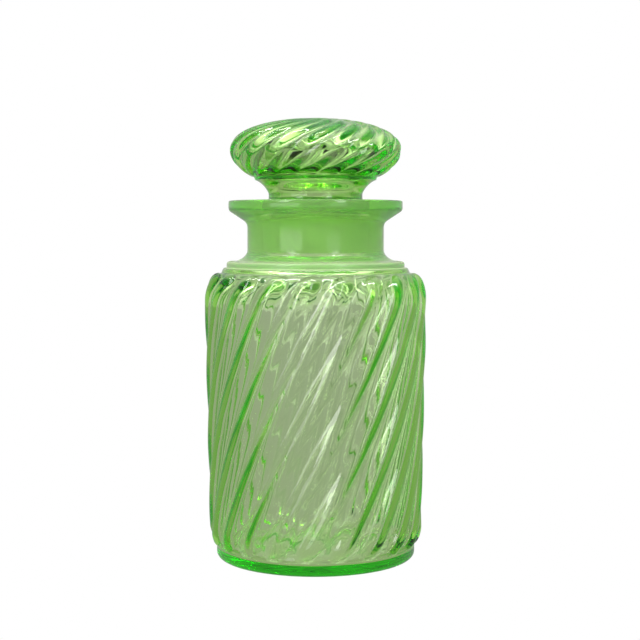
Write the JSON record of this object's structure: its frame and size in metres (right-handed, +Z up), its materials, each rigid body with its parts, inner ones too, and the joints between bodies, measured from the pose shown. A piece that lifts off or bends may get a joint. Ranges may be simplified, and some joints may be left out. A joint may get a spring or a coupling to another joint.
{
  "type": "stoppered glass apothecary jar",
  "caption": "Round green glass storage jar with swirl-ribbed body, short flanged neck and a ground, hollow mushroom stopper with a matching swirl.",
  "frame": {"origin": "centre of the rest rim, on the jar's axis, at the surface that the jar stands on", "axes": "+Z up along the jar's axis towards the stopper, -Y to the front"},
  "size_m": [0.075, 0.075, 0.1488],
  "materials": {
    "jar_glass": "transparent yellow-green glass, mould-blown and fire-polished, neck bore ground",
    "stopper_glass": "transparent yellow-green glass, mould-blown and fire-polished, plug ground"
  },
  "bodies": {
    "jar": {"jar": "jar_glass"},
    "stopper": {"stopper": "stopper_glass"}
  },
  "joints": [
    {"name": "stopper_lift", "type": "slide", "parent": "jar", "child": "stopper", "axis": [0, 0, 1], "range_m": [0, 0.04]}
  ]
}
